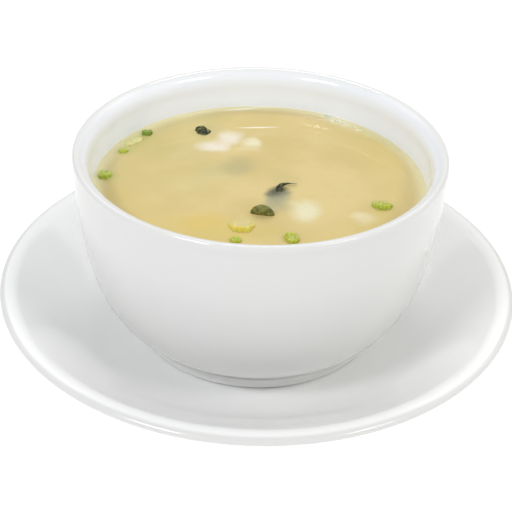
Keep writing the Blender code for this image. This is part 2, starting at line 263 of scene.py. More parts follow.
class Shader:
    """A node material being built: each method adds a node and returns its output socket."""

    def __init__(self, name, **surface):
        self.material = bpy.data.materials.new(name)
        self.material.use_nodes = True
        self.tree = self.material.node_tree
        self.surface = self.tree.nodes["Principled BSDF"]
        for socket, value in surface.items():
            self.surface.inputs[socket.replace("_", " ")].default_value = value
        self.place = self.add("TexCoord").outputs["Object"]

    def add(self, kind, inputs=None, **settings):
        """Add a node, with settings as its properties and inputs as values or sockets."""
        node = self.tree.nodes.new("ShaderNode" + kind)
        for setting, value in settings.items():
            setattr(node, setting, value)
        for key, value in (inputs or {}).items():
            if isinstance(value, bpy.types.NodeSocket):
                self.tree.links.new(value, node.inputs[key])
            else:
                node.inputs[key].default_value = value
        return node

    def noise(self, size, detail=2.0, roughness=0.5, place=None):
        """Noise with features of about size, in metres."""
        node = self.add("TexNoise", {"Vector": place or self.place, "Scale": 1 / size,
                                     "Detail": detail, "Roughness": roughness})
        return node.outputs["Fac"]

    def ramp(self, value, low, high, to_low=0.0, to_high=1.0):
        """Map value from low..high to to_low..to_high along a smooth curve."""
        node = self.add("MapRange", {"Value": value, "From Min": low, "From Max": high,
                                     "To Min": to_low, "To Max": to_high},
                        interpolation_type="SMOOTHSTEP")
        return node.outputs["Result"]

    def math(self, operation, first, second=0.0):
        """A Math node."""
        return self.add("Math", {0: first, 1: second}, operation=operation).outputs[0]

    def mix(self, factor, first, second):
        """Mix two colours, given as sockets or as (r, g, b)."""
        colours = [value if isinstance(value, bpy.types.NodeSocket) else (*value, 1.0)
                   for value in (first, second)]
        node = self.add("Mix", {"Factor": factor, 6: colours[0], 7: colours[1]}, data_type="RGBA")
        return node.outputs[2]

    def axis(self, name):
        """One coordinate of the place."""
        return self.add("SeparateXYZ", {0: self.place}).outputs[name]

    def bump(self, height, depth, strength=1.0, normal=None):
        """Bump of a height from 0 to 1 over depth metres."""
        inputs = {"Height": height, "Distance": depth, "Strength": strength}
        if normal:
            inputs["Normal"] = normal
        return self.add("Bump", inputs).outputs["Normal"]

    def attribute(self, name):
        """A value stored on the mesh's vertices."""
        return self.add("Attribute", attribute_name=name).outputs["Fac"]

    def radius(self):
        """Distance from the bowl's axis."""
        flat = self.add("VectorMath", {0: self.place, 1: (1.0, 1.0, 0.0)}, operation="MULTIPLY")
        return self.add("VectorMath", {0: flat.outputs[0]}, operation="LENGTH").outputs["Value"]

    def warped(self, size, reach):
        """The place, moved about by up to reach with noise of the given size."""
        drift = self.add("TexNoise", {"Vector": self.place, "Scale": 1 / size, "Detail": 2.0})
        centred = self.add("VectorMath", {0: drift.outputs["Color"], 1: (0.5, 0.5, 0.5)},
                           operation="SUBTRACT")
        scaled = self.add("VectorMath", {0: centred.outputs[0], "Scale": 2 * reach},
                          operation="SCALE")
        return self.add("VectorMath", {0: self.place, 1: scaled.outputs[0]},
                        operation="ADD").outputs[0]

    def patch(self, place, centre, halves, turn):
        """1 in the middle of an oval patch of the surface, fading to 0 at its edge."""
        angle = math.radians(turn)
        cosine, sine = math.cos(angle), math.sin(angle)
        along = (cosine / (halves[0] * MM), sine / (halves[0] * MM), 0.0)
        across = (-sine / (halves[1] * MM), cosine / (halves[1] * MM), 0.0)
        middle = (centre[0] * MM, centre[1] * MM, 0.0)
        offset = self.add("VectorMath", {0: place, 1: middle}, operation="SUBTRACT").outputs[0]
        first = self.add("VectorMath", {0: offset, 1: along}, operation="DOT_PRODUCT")
        second = self.add("VectorMath", {0: offset, 1: across}, operation="DOT_PRODUCT")
        both = self.add("CombineXYZ", {0: first.outputs["Value"], 1: second.outputs["Value"]})
        reach = self.add("VectorMath", {0: both.outputs[0]}, operation="LENGTH")
        return self.ramp(reach.outputs["Value"], 0.15, 1.0, 1.0, 0.0)

    def use(self, **sockets):
        """Link outputs to the Principled shader's inputs."""
        for name, output in sockets.items():
            self.tree.links.new(output, self.surface.inputs[name.replace("_", " ")])
        return self.material


def porcelain_material(name, cool, warm):
    """White glaze: a faint drift of tone, soft gloss and the slight waviness of fired glaze, with painted
    light inside the bowl, and painted shade on the saucer lip's outer face and in the crease over the
    bowl's foot.
    """
    shader = Shader(name, IOR=1.5)
    drift = shader.noise(60 * MM, detail=1.0)
    colour = shader.mix(drift, cool, warm)
    # Painted light: above the soup, the glaze inside the bowl is lighter and cooler, standing in for light
    # bounced round inside the bowl.
    inside = shader.math("MULTIPLY", shader.ramp(shader.axis("Z"), 50 * MM, 55 * MM),
                         shader.ramp(shader.radius(), 57.4 * MM, 60.5 * MM, 1.0, 0.0))
    colour = shader.mix(inside, colour, INSIDE_PAINTED_LIGHT)
    # Painted shade: the outer face of the saucer's lip is darker than the rest of the glaze.
    lip_shade = shader.ramp(shader.radius(), SAUCER_LIP_RADIUS + 0.7 * MM,
                           SAUCER_LIP_RADIUS + 2.0 * MM, 0.0, 0.85)
    colour = shader.mix(lip_shade, colour, SAUCER_LIP_PAINTED_SHADE)
    # Painted shade: a grey band in the crease where the bowl's wall meets its foot.
    crease = shader.math("SUBTRACT", shader.axis("Z"), BOWL_BASE + BODY_CREASE)
    crease = shader.ramp(shader.math("ABSOLUTE", crease), 0.0, 1.0 * MM, 0.9, 0.0)
    beneath = shader.ramp(shader.radius(), 46.0 * MM, 48.0 * MM, 1.0, 0.0)
    colour = shader.mix(shader.math("MULTIPLY", crease, beneath), colour, CREASE_PAINTED_SHADE)
    polish = shader.ramp(shader.noise(14 * MM), 0.3, 0.7, 0.09, 0.15)
    wave = shader.bump(shader.noise(9 * MM, detail=1.0), 0.02 * MM)
    pits = shader.bump(shader.noise(0.7 * MM, detail=1.0), 0.002 * MM, normal=wave)
    return shader.use(Base_Color=colour, Roughness=polish, Normal=pits)


# Both pieces are the same porcelain: the saucer's glaze is painted lighter than the bowl's, as painted
# light on the saucer.
BOWL_GLAZE = ((0.712, 0.720, 0.718), (0.738, 0.732, 0.712))
SAUCER_GLAZE_PAINTED_LIGHT = ((0.880, 0.890, 0.896), (0.905, 0.903, 0.893))
# Painted light inside the bowl.
INSIDE_PAINTED_LIGHT = (0.888, 0.922, 0.995)
# Painted shade on the saucer lip's outer face.
SAUCER_LIP_PAINTED_SHADE = (0.70, 0.70, 0.69)
# Painted shade in the crease over the bowl's foot.
CREASE_PAINTED_SHADE = (0.36, 0.37, 0.365)
BODY_CREASE = 3.6 * MM              # how high above its base the wall meets the foot


# ---------------------------------------------------------------- soup

WALL_REACH = 0.35 * MM              # how far the soup reaches into the bowl's wall
WALL_RISE = 0.6 * MM                # how high the surface climbs at the wall
WALL_RISE_WIDTH = 0.5 * MM
GARNISH_RISE = 0.20 * MM
GARNISH_RISE_WIDTH = 0.8 * MM
WATERLINE_BAND = 0.4 * MM
RIPPLE = 0.05 * MM
RIPPLE_SIZE = 11.0 * MM


def surface_radii(edge):
    """Radii of the surface's rings: even in the middle, and finer where it climbs the wall."""
    fine = 8.0 * MM
    middle = [(edge - fine) * step / 104 for step in range(1, 105)]
    outer = [edge - fine * (1 - step / 30) ** 1.6 for step in range(1, 31)]
    return middle + outer


def waterline_tree(garnish):
    """A search tree of the places where the floating pieces pass through the surface."""
    places = [Vector((vert.co.x, vert.co.y, 0.0)) for piece in garnish
              for vert in piece.data.vertices if abs(vert.co.z - SOUP_LEVEL) < WATERLINE_BAND]
    tree = kdtree.KDTree(len(places))
    for index, place in enumerate(places):
        tree.insert(place, index)
    tree.balance()
    return tree


def surface_height(x, y, edge, tree):
    """Height of the soup's surface, which climbs the wall and the pieces that float in it."""
    place = Vector((x, y, 0.0))
    from_wall = edge - place.length
    from_garnish = tree.find(place)[2]
    lift = WALL_RISE * math.exp(-from_wall / WALL_RISE_WIDTH)
    lift += GARNISH_RISE * math.exp(-from_garnish / GARNISH_RISE_WIDTH)
    lift += RIPPLE * noise.noise(place / RIPPLE_SIZE)
    return SOUP_LEVEL + lift


def add_soup(garnish):
    """The soup up to its surface, in one closed body that reaches just into the wall."""
    top = SOUP_LEVEL + WALL_RISE
    edge = inner_radius(top) + WALL_REACH
    wall = [inner_point(turn) for turn in wall_turns(26)]
    below = [(radius + WALL_REACH, height - WALL_REACH) for radius, height in wall
             if height < SOUP_LEVEL - 1.0 * MM]
    surface = [(0.0, top)] + [(radius, top) for radius in surface_radii(edge)]
    builder = turned(surface + below + [(0.0, below[-1][1])], SOUP_STEPS)
    tree = waterline_tree(garnish)
    for vert in builder.verts:
        if vert.co.z > top - 0.01 * MM:
            vert.co.z = surface_height(vert.co.x, vert.co.y, edge, tree)
    finish_piece("soup_broth", builder, soup_material(), "soup", "soup")


# Soft patches of another colour on the soup: place, half lengths and turn, how much of the colour they
# take, and the colour.
# Most are the soup's own clouds and the look of what lies just under the surface; the broad darker patches
# along the left and front wall are painted shade, and one is a painted shadow under the front leaf.
TOFU_GLOW = (0.77, 0.71, 0.595)
HAZE_GREEN = (0.42, 0.44, 0.13)
PATCHES = [
    # Painted shade: darker along the left wall.
    ((-48, 2), (18, 40), 0, 0.9, (0.54, 0.455, 0.205)),
    ((-26, 24), (26, 18), 35, 0.5, (0.56, 0.50, 0.23)),
    ((-40, 24), (15, 14), 0, 0.85, (0.46, 0.42, 0.15)),
    ((-20, 38), (10, 10), 0, 0.85, (0.47, 0.44, 0.22)),
    ((-15, 6), (12, 10), 0, 0.5, (0.54, 0.49, 0.24)),
    ((9, 2), (8, 7), 0, 0.4, (0.53, 0.47, 0.21)),
    ((-34, 36), (14, 7), 40, 0.5, (0.46, 0.44, 0.20)),
    ((-19, 45), (13, 7), 12, 0.6, (0.47, 0.44, 0.17)),
    ((-38, -20), (9, 9), 0, 0.6, (0.57, 0.45, 0.18)),
    ((-24, -2), (13, 10), 0, 0.5, (0.60, 0.53, 0.24)),
    ((-18, -27), (16, 10), 5, 0.9, (0.625, 0.48, 0.145)),
    ((3, -31), (10, 7), 0, 0.6, (0.58, 0.46, 0.16)),
    # Painted shade: darker along the front wall.
    ((-12, -34), (18, 6), 0, 0.6, (0.59, 0.465, 0.13)),
    ((-45, -11), (9, 8), 0, 0.6, (0.56, 0.455, 0.165)),
    ((42, 22), (10, 22), 25, 0.6, (0.62, 0.50, 0.165)),
    ((24, -32), (24, 8), 0, 0.4, (0.60, 0.48, 0.20)),
    ((-16.5, 23.8), (8.5, 5.6), 8, 0.95, TOFU_GLOW),
    ((-11.4, 30.6), (8.0, 6.4), 52, 0.95, TOFU_GLOW),
    ((-4.0, 22.8), (6.0, 3.4), 0, 0.5, (0.70, 0.63, 0.37)),
    ((-3.0, 27.6), (4.6, 5.0), 0, 0.95, (0.75, 0.70, 0.48)),
    ((15.2, -17.6), (7.4, 10.5), 0, 0.95, (0.72, 0.68, 0.46)),
    ((33.5, -21.6), (5.4, 5.8), 0, 0.9, (0.74, 0.665, 0.44)),
    ((-7.6, 11.2), (9.5, 9.6), 0, 0.75, (0.44, 0.39, 0.20)),
    ((6.0, -9.2), (5.8, 7.6), 0, 1.0, (0.24, 0.25, 0.17)),
    ((5.6, -6.6), (4.6, 5.0), 0, 1.0, (0.09, 0.095, 0.065)),
    ((6.2, -13.6), (6.5, 8.5), 0, 0.7, (0.36, 0.35, 0.22)),
    # Painted shadow under the front leaf.
    ((1.2, -23.4), (5.6, 3.6), 0, 0.4, (0.44, 0.39, 0.18)),
    ((40.6, -14.0), (5.6, 6.0), 0, 0.7, HAZE_GREEN),
    ((-51.0, 1.0), (4.6, 5.6), 0, 0.8, HAZE_GREEN),
    ((-46.8, 19.5), (4.0, 5.0), 0, 0.8, HAZE_GREEN),
    ((-42.5, 29.5), (7.5, 4.5), 52, 0.6, HAZE_GREEN),
    ((10.8, -34.6), (4.0, 5.0), 0, 0.6, HAZE_GREEN),
    ((-5.3, -26.5), (5.5, 5.5), 0, 0.5, (0.62, 0.55, 0.25)),
    ((31.0, 44.5), (15.0, 6.5), -42, 0.45, (0.76, 0.69, 0.42)),
    ((28.6, 47.2), (10.0, 4.2), -34, 1.0, (0.86, 0.80, 0.58)),
    ((38.6, 36.4), (5.0, 3.6), -45, 0.5, (0.62, 0.60, 0.26)),
]
BROTH_PALE = (0.658, 0.530, 0.242)
BROTH_DEEP = (0.590, 0.468, 0.195)
BROTH_SHADE = (0.60, 0.475, 0.185)
BROTH_EDGE = (0.79, 0.74, 0.45)
GLINT_WHITE = (0.97, 0.96, 0.90)

# Painted highlights: thin pale lines on the soup, for the back rim's highlight reflected in it and for
# highlights along the meniscus at the back: middle, half lengths, turn and strength.
GLINTS = [
    ((-1.5, 39.3), (10.0, 0.7), 6, 0.7),
    ((-7.3, 53.6), (9.0, 0.8), 12, 0.7),
    ((-1.0, 56.0), (19.0, 0.9), 0, 0.8),
    ((-28.5, 49.2), (6.0, 1.0), 32, 0.7),
]
MISO_GRAIN = (0.58, 0.43, 0.15)


def soup_material():
    """Cloudy miso: drifting clouds, fine grains and the soft look of what lies below, with painted shade
    towards the wall, a paler edge at the wall and painted highlights.
    """
    shader = Shader("miso_broth", IOR=1.34, Roughness=0.07)
    clouds = shader.ramp(shader.noise(26 * MM, detail=4.0), 0.36, 0.64)
    colour = shader.mix(clouds, BROTH_DEEP, BROTH_PALE)
    warped = shader.warped(9 * MM, 3.2 * MM)
    for (x, y), (half_x, half_y), turn, amount, tint in PATCHES:
        patch = shader.patch(warped, (x, y), (half_x, half_y), turn)
        colour = shader.mix(shader.math("MULTIPLY", patch, amount), colour, tint)
    grains = shader.ramp(shader.noise(1.1 * MM, detail=2.0), 0.58, 0.72, 0.0, 0.28)
    colour = shader.mix(grains, colour, MISO_GRAIN)
    # Painted shade: the soup darkens in a ring towards the wall.
    shade = shader.math("MULTIPLY", shader.ramp(shader.radius(), 32 * MM, 44 * MM, 0.0, 0.5),
                        shader.ramp(shader.radius(), 46 * MM, 52 * MM, 1.0, 0.0))
    colour = shader.mix(shade, colour, BROTH_SHADE)
    # Paler towards the wall: partly the thin soup at the wall, partly painted light that evens out the dark
    # reflection in the meniscus.
    edge = shader.ramp(shader.radius(), 50.8 * MM, inner_radius(SOUP_LEVEL) + 0.6 * MM, 0.0, 0.9)
    colour = shader.mix(edge, colour, BROTH_EDGE)
    # Painted highlights and reflection: the thin pale lines of GLINTS.
    for (x, y), (half_x, half_y), turn, amount in GLINTS:
        glint = shader.patch(shader.place, (x, y), (half_x, half_y), turn)
        colour = shader.mix(shader.math("MULTIPLY", glint, amount), colour, GLINT_WHITE)
    film = shader.bump(shader.noise(3.0 * MM, detail=2.0), 0.012 * MM, 0.5)
    return shader.use(Base_Color=colour, Normal=film)


# ---------------------------------------------------------------- garnish

def on_soup(x, y, above):
    """A place over the soup: x and y in millimetres and the height above its surface."""
    return Vector((x * MM, y * MM, SOUP_LEVEL + above * MM))


def curve_point(points, t):
    """Catmull-Rom point at t (0 to 1) on a smooth curve through points."""
    spans = len(points) - 1
    index = min(int(t * spans), spans - 1)
    u = t * spans - index
    p1, p2 = points[index], points[index + 1]
    p0 = points[index - 1] if index else 2 * p1 - p2
    p3 = points[index + 2] if index + 2 < len(points) else 2 * p2 - p1
    return 0.5 * (2 * p1 + (p2 - p0) * u + (2 * p0 - 5 * p1 + 4 * p2 - p3) * u**2
                  + (3 * p1 - p0 - 3 * p2 + p3) * u**3)


def loop_faces(builder, rings):
    """Faces between each ring of vertices and the next, round all of them."""
    for low, high in zip(rings, rings[1:]):
        for side in range(len(low)):
            follow = (side + 1) % len(low)
            builder.faces.new((low[side], low[follow], high[follow], high[side]))


def leaf(route, half_width, thickness, widest, facing, cupped, crinkle, taper):
    """A curled leaf swept along route: thin at its edges, tapering to both tips and crinkled."""
    stations, sides = 56, 28
    lean = math.log(0.5) / math.log(widest)
    points = [Vector(point) for point in route]
    builder = bmesh.new()
    edge_layer = builder.verts.layers.float.new("edge")
    rings = []
    for station in range(1, stations):
        t = station / stations
        centre = curve_point(points, t)
        along = (curve_point(points, t + 0.02) - curve_point(points, t - 0.02)).normalized()
        wide = (Vector(facing) - along * along.dot(Vector(facing))).normalized()
        normal = along.cross(wide)
        swell = math.sin(math.pi * t**lean) ** taper
        frill = 1 + 0.10 * noise.noise(centre / (1.6 * MM)) + 0.04 * math.sin(31 * t)
        across = half_width * swell * frill
        deep = thickness / 2 * (0.3 + 0.7 * swell)
        ring = []
        for side in range(sides):
            angle = math.tau * side / sides
            bend = cupped * half_width * swell * math.cos(angle) ** 2
            thin = 1 - 0.55 * math.cos(angle) ** 2
            offset = wide * (across * math.cos(angle))
            offset += normal * (deep * thin * math.sin(angle) - bend)
            pleat = noise.noise((centre + wide * (across * math.cos(angle))) / (1.1 * MM))
            offset += normal * (crinkle * pleat * swell)
            vert = builder.verts.new(centre + offset)
            vert[edge_layer] = abs(math.cos(angle)) ** 4
            ring.append(vert)
        rings.append(ring)
    for tip, ring in ((points[0], rings[0]), (points[-1], rings[-1])):
        end = builder.verts.new(tip)
        for side in range(sides):
            builder.faces.new((ring[side], ring[(side + 1) % sides], end))
    loop_faces(builder, rings)
    return builder


# Each leaf: route as places over the soup, half width and thickness in millimetres, where it is
# widest, the way its width lies, how much it is cupped and crinkled, how sharply it tapers, and
# how much of it is thin enough for olive green to show.
LEAVES = {
    "wakame_back": ([(-24.0, 34.6, -0.8), (-22.2, 34.3, 0.5), (-19.9, 33.5, 0.6),
                     (-17.2, 34.8, -0.5)],
                    2.0, 1.1, 0.42, (0.1, -0.8, -0.35), 0.25, 0.34, 0.7, 0.4),
    "wakame_middle": ([(12.4, -1.3, 0.6), (9.6, -2.1, 1.1), (7.2, -3.5, 1.1), (6.3, -5.2, 0.5),
                       (6.8, -7.2, -1.6)],
                      1.2, 1.8, 0.68, (-0.8, -0.3, -0.5), 0.1, 0.10, 1.2, 0.0),
    "wakame_front": ([(-2.1, -20.5, -0.8), (-0.8, -20.4, 0.8), (1.0, -20.6, 1.3),
                      (3.0, -21.0, 0.7), (4.4, -21.6, -0.8)],
                     1.4, 4.6, 0.47, (0.0, -1.0, 0.0), 0.0, 0.18, 0.7, 1.0),
}
LEAF_BLACK = (0.010, 0.013, 0.006)
LEAF_GREEN = (0.045, 0.055, 0.014)
LEAF_SHADE = (0.075, 0.085, 0.018)
LEAF_OLIVE = (0.21, 0.20, 0.045)


def wakame_material(name, thinness):
    """Wet seaweed: near black, with olive green showing in spots and along thin edges."""
    shader = Shader(name, IOR=1.36, Coat_Weight=0.15, Coat_Roughness=0.15)
    spots = shader.ramp(shader.noise(0.9 * MM, detail=4.0), 0.40, 0.62)
    colour = shader.mix(spots, LEAF_BLACK, LEAF_GREEN)
    mottle = shader.ramp(shader.noise(1.6 * MM, detail=3.0, roughness=0.65), 0.30, 0.60)
    olive = shader.mix(mottle, LEAF_SHADE, LEAF_OLIVE)
    edge = shader.math("MULTIPLY", shader.attribute("edge"), 0.35 * (1 - thinness))
    thin = shader.ramp(shader.noise(0.9 * MM, detail=3.0), 0.66 - 0.4 * thinness, 0.74 - 0.4 * thinness)
    colour = shader.mix(shader.math("MAXIMUM", edge, thin), colour, olive)
    veins = shader.bump(shader.noise(0.6 * MM, detail=3.0), 0.06 * MM, 0.6)
    polish = shader.ramp(shader.noise(1.2 * MM), 0.3, 0.7, 0.35, 0.55)
    return shader.use(Base_Color=sunk_in(shader, colour, 0.3 * MM), Roughness=polish, Normal=veins)


def add_leaves():
    """The three leaves that break the surface."""
    made = []
    for name, spec in LEAVES.items():
        route, half_width, thickness, widest, facing, cupped, crinkle, taper, thinness = spec
        builder = leaf([on_soup(*point) for point in route], half_width * MM, thickness * MM,
                       widest, facing, cupped, crinkle * MM, taper)
        made.append(finish_piece(name + "_leaf", builder, wakame_material(name, thinness),
                                 "wakame", name))
    return made


def onion_slice(across, along, height, dip, power, place, turn, tilt, seed):
    """A slice of spring onion: a soft-edged disc, dipped in the middle and faintly ringed.

    power is 2 for an oval outline and more for a squarer one; tilt raises the far side. Each
    vertex holds in "skin" how near it is to the outer skin."""
    steps, edge_share = 112, 0.86
    profile = [(share, height / 2 - dip * (1 - (share / edge_share) ** 2), skin)
               for share, skin in ((edge_share * index / 26, (index / 26) ** 3) for index in range(1, 27))]
    profile += [(edge_share + (1 - edge_share) * math.sin(angle), height / 2 * math.cos(angle) ** 0.7, 1.0)
                for angle in (math.pi / 2 * index / 12 for index in range(1, 12))]
    profile += [(1.0, 0.0, 1.0), (0.98, -height / 4, 1.0), (0.9, -height / 2, 1.0), (0.5, -height / 2, 1.0)]
    builder = bmesh.new()
    skin_layer = builder.verts.layers.float.new("skin")
    rings = []
    for share, level, skin in profile:
        ring = []
        for step in range(steps):
            angle = math.tau * step / steps
            cosine, sine = math.cos(angle), math.sin(angle)
            reach = (abs(cosine) ** power + abs(sine) ** power) ** (-1 / power)
            waver = 1 + 0.24 * noise.noise(Vector((cosine, sine, seed)) * 1.4)
            waver += 0.12 * noise.noise(Vector((cosine, sine, seed)) * 3.7)
            spot = Vector((share * reach * cosine * across / 2 * waver,
                           share * reach * sine * along / 2 * waver, level))
            ringed = sum(math.exp(-((share - groove) / 0.04) ** 2) for groove in (0.34, 0.62))
            lumps = 0.10 * noise.noise(spot / (0.9 * MM) + Vector((seed, 0, 0)))
            spot.z += (0.09 * lumps - 0.10 * ringed) * MM if level > 0 else 0.0
            spot.z += 3.0 * lumps * MM
            vert = builder.verts.new(spot)
            vert[skin_layer] = skin
            ring.append(vert)
        rings.append(ring)
    loop_faces(builder, rings)
    for ring, level in ((rings[0], height / 2 - dip), (rings[-1], -height / 2)):
        middle = builder.verts.new((0.0, 0.0, level))
        middle[skin_layer] = 0.0
        for step in range(steps):
            builder.faces.new((ring[step], ring[(step + 1) % steps], middle))
    lie = Matrix.Rotation(math.radians(turn), 4, "Z") @ Matrix.Rotation(math.radians(tilt), 4, "X")
    builder.transform(Matrix.Translation(place) @ lie)
    return builder


# Each slice: its kind, its size across, along and up, the depth of the dip in its middle, the
# squareness of its outline, the place of its middle, and turn and tilt in degrees.
SLICES = {
    "onion_front": ("pale", 8.8, 8.6, 2.6, 0.5, 2.0, (-5.3, -28.2, -0.6), 0, -18),
    "onion_rim_left": ("yellow", 3.6, 3.2, 2.0, 0.2, 2.4, (-7.1, -37.2, 0.0), 10, -6),
    "onion_rim_right": ("yellow", 4.0, 4.6, 2.8, 0.2, 3.0, (10.5, -35.6, 0.0), 10, 4),
    "onion_right": ("yellow", 6.2, 6.2, 2.6, 0.3, 2.2, (40.3, -13.4, -0.2), -8, -20),
    "onion_left": ("green", 4.2, 4.8, 2.6, 0.2, 2.2, (-52.4, 0.9, 0.0), 15, -8),
    "onion_back_low": ("green", 3.3, 3.2, 2.0, 0.5, 2.0, (-47.8, 18.2, -0.1), 0, -16),
    "onion_back_pale": ("sheet", 7.6, 5.0, 2.0, 0.1, 2.6, (-45.0, 25.6, -0.5), 52, -5),
    "onion_back_high": ("dark", 3.6, 3.2, 2.8, 0.2, 3.6, (-40.6, 31.6, -0.1), 8, -12),
}
ONION_LOOKS = {
    "pale": ("onion_pale", (0.66, 0.56, 0.085), (0.66, 0.59, 0.30), 0.1),
    "sheet": ("onion_pale", (0.61, 0.60, 0.22), (0.64, 0.61, 0.27), 0.2),
    "yellow": ("onion_green", (0.43, 0.49, 0.04), (0.43, 0.48, 0.07), 0.6),
    "green": ("onion_green", (0.42, 0.53, 0.05), (0.47, 0.56, 0.09), 0.5),
    "dark": ("onion_green", (0.18, 0.28, 0.02), (0.25, 0.35, 0.04), 0.4),
}


def sunk_in(shader, colour, blend=0.5 * MM):
    """The colour, fading into the soup's own where the piece meets the surface."""
    height = shader.math("ADD", shader.axis("Z"),
                         shader.ramp(shader.noise(1.3 * MM), 0.2, 0.8, -0.25 * MM, 0.25 * MM))
    wet = shader.ramp(height, SOUP_LEVEL, SOUP_LEVEL + blend, 0.8, 0.0)
    return shader.mix(wet, colour, BROTH_DEEP)


def onion_material(name, skin, flesh, mottled):
    """Spring onion: the skin's green fading into paler flesh, with fine fibres."""
    shader = Shader(name, IOR=1.38, Coat_Weight=0.2, Coat_Roughness=0.15, Subsurface_Weight=0.3,
                    Subsurface_Scale=0.002)
    fade = shader.ramp(shader.attribute("skin"), 0.2, 0.95)
    fibres = shader.noise(0.5 * MM, detail=2.0)
    fade = shader.math("ADD", fade, shader.ramp(fibres, 0.3, 0.7, -0.12, 0.12))
    colour = shader.mix(fade, flesh, skin)
    leaning = shader.add("Mapping", {"Vector": shader.place, "Rotation": (0.0, 0.0, 0.6),
                                     "Scale": (1.0, 0.35, 1.0)}).outputs[0]
    strokes = shader.ramp(shader.noise(0.9 * MM, detail=2.0, place=leaning), 0.42, 0.62, 0.0, mottled)
    colour = shader.mix(strokes, colour, tuple(channel * 0.6 for channel in skin))
    bright = shader.ramp(shader.noise(1.6 * MM, detail=2.0), 0.5, 0.68, 0.0, mottled * 0.5)
    colour = shader.mix(bright, colour, tuple(0.12 + 0.95 * channel for channel in flesh))
    cells = shader.bump(shader.noise(0.4 * MM), 0.02 * MM, 0.5)
    polish = shader.ramp(shader.noise(0.8 * MM), 0.3, 0.7, 0.3, 0.5)
    return shader.use(Base_Color=sunk_in(shader, colour), Roughness=polish, Normal=cells)


def add_onions():
    """The slices of spring onion."""
    looks = {kind: (slot, onion_material("onion_" + kind, skin, flesh, mottled))
             for kind, (slot, skin, flesh, mottled) in ONION_LOOKS.items()}
    made = []
    for index, (name, spec) in enumerate(SLICES.items()):
        kind, across, along, height, dip, power, place, turn, tilt = spec
        slot, look = looks[kind]
        builder = onion_slice(across * MM, along * MM, height * MM, dip * MM, power,
                              on_soup(*place), turn, tilt, seed=index * 7)
        made.append(finish_piece(name + "_rings", builder, look, slot, name))
    return made


def tofu_piece(length, width, depth, pinch, turn, tilt, place, cuts, rough):
    """A soft broken block of tofu: rounded edges, pinched long sides and a crumbly surface."""
    builder = bmesh.new()
    bmesh.ops.create_cube(builder, size=2.0)
    bmesh.ops.subdivide_edges(builder, edges=builder.edges[:], cuts=cuts, use_grid_fill=True)
    for vert in builder.verts:
        ball = vert.co.normalized() * 1.15
        soft = vert.co.lerp(ball, 0.7)
        waist = 1 - pinch * math.cos(soft.x * math.pi / 2) ** 2
        skew = 0.16 * math.sin(2.4 * soft.x)
        wave = 0.04 * math.sin(3.6 * soft.x + 2.2 * soft.y)
        vert.co = Vector((soft.x * length / 2, (soft.y * waist + skew) * width / 2,
                          (soft.z + wave) * depth / 2))
    lie = Matrix.Rotation(math.radians(turn), 4, "Z") @ Matrix.Rotation(math.radians(tilt), 4, "Y")
    builder.transform(Matrix.Translation(place) @ lie)
    builder.normal_update()
    moves = []
    for vert in builder.verts:
        crumb = noise.fractal(vert.co / (3.2 * MM), 0.7, 2.0, 3)
        moves.append(vert.normal * (rough * crumb))
    for vert, move in zip(builder.verts, moves):
        vert.co += move
    return builder


def tofu_material():
    """Silken tofu: cream white with faint pores, taking the soup's colour at the waterline."""
    shader = Shader("tofu", IOR=1.36, Subsurface_Weight=0.3, Subsurface_Scale=0.004)
    pores = shader.ramp(shader.noise(1.2 * MM, detail=3.0), 0.3, 0.55)
    colour = shader.mix(pores, (0.64, 0.57, 0.42), (0.69, 0.63, 0.51))
    height = shader.math("ADD", shader.axis("Z"),
                         shader.ramp(shader.noise(2.5 * MM), 0.2, 0.8, -0.12 * MM, 0.12 * MM))
    wet = shader.ramp(height, SOUP_LEVEL, SOUP_LEVEL + 0.3 * MM, 0.7, 0.0)
    colour = shader.mix(wet, colour, (0.66, 0.57, 0.33))
    grain = shader.bump(shader.noise(0.6 * MM, detail=3.0), 0.03 * MM, 0.5)
    polish = shader.ramp(pores, 0.0, 1.0, 0.5, 0.35)
    return shader.use(Base_Color=colour, Roughness=polish, Normal=grain)


# Tofu under the surface: length, width, depth, turn and the place of its middle.
SUNK_TOFU_PIECES = [
    (11.0, 8.5, 7.0, 70, (15.2, -17.6, -4.3)),
    (7.0, 6.0, 5.0, 20, (-3.2, 27.4, -3.2)),
    (8.5, 6.5, 5.0, -15, (33.4, -21.4, -3.3)),
]


def join(parts):
    """One bmesh of several."""
    whole = bmesh.new()
    for part in parts:
        mesh = bpy.data.meshes.new("part")
        part.to_mesh(mesh)
        part.free()
        whole.from_mesh(mesh)
        bpy.data.meshes.remove(mesh)
    return whole


def add_tofu():
    """The block at the surface, and the pieces that lie just under it."""
    look = tofu_material()
    block = tofu_piece(21 * MM, 9 * MM, 7 * MM, 0.3, 48, 0, on_soup(-13.8, 27.4, -4.1), 40,
                       0.12 * MM)
    sunk = [tofu_piece(length * MM, width * MM, depth * MM, 0.1, turn, 0, on_soup(*place), 14,
                       0.3 * MM)
            for length, width, depth, turn, place in SUNK_TOFU_PIECES]
    finish_piece("tofu_sunk", join(sunk), look, "tofu")
    finish_piece("tofu_back_block", block, look, "tofu", "tofu_back")


# Leaves under the surface: route, half width, thickness and the way the width lies.
SUNK_LEAVES = [
    ([(-13.5, 9.0, -2.0), (-9.5, 10.6, -1.5), (-6.0, 11.4, -1.4), (-3.4, 13.4, -2.1)], 2.6, 0.9,
     (0.2, -0.9, 0.1)),
    ([(2.6, -12.5, -3.0), (4.8, -10.0, -2.0), (7.4, -8.4, -1.8), (9.0, -6.4, -2.6)], 2.4, 0.9,
     (0.6, -0.7, 0.1)),
]


def add_sunk_leaves():
    """Wakame that lies under the surface."""
    parts = [leaf([on_soup(*point) for point in route], half_width * MM, thickness * MM, 0.5,
                  facing, 0.2, 0.3 * MM, 0.7)
             for route, half_width, thickness, facing in SUNK_LEAVES]
    finish_piece("wakame_sunk", join(parts), wakame_material("wakame_sunk", 0.3), "wakame")


CRUMB_COUNT = 30


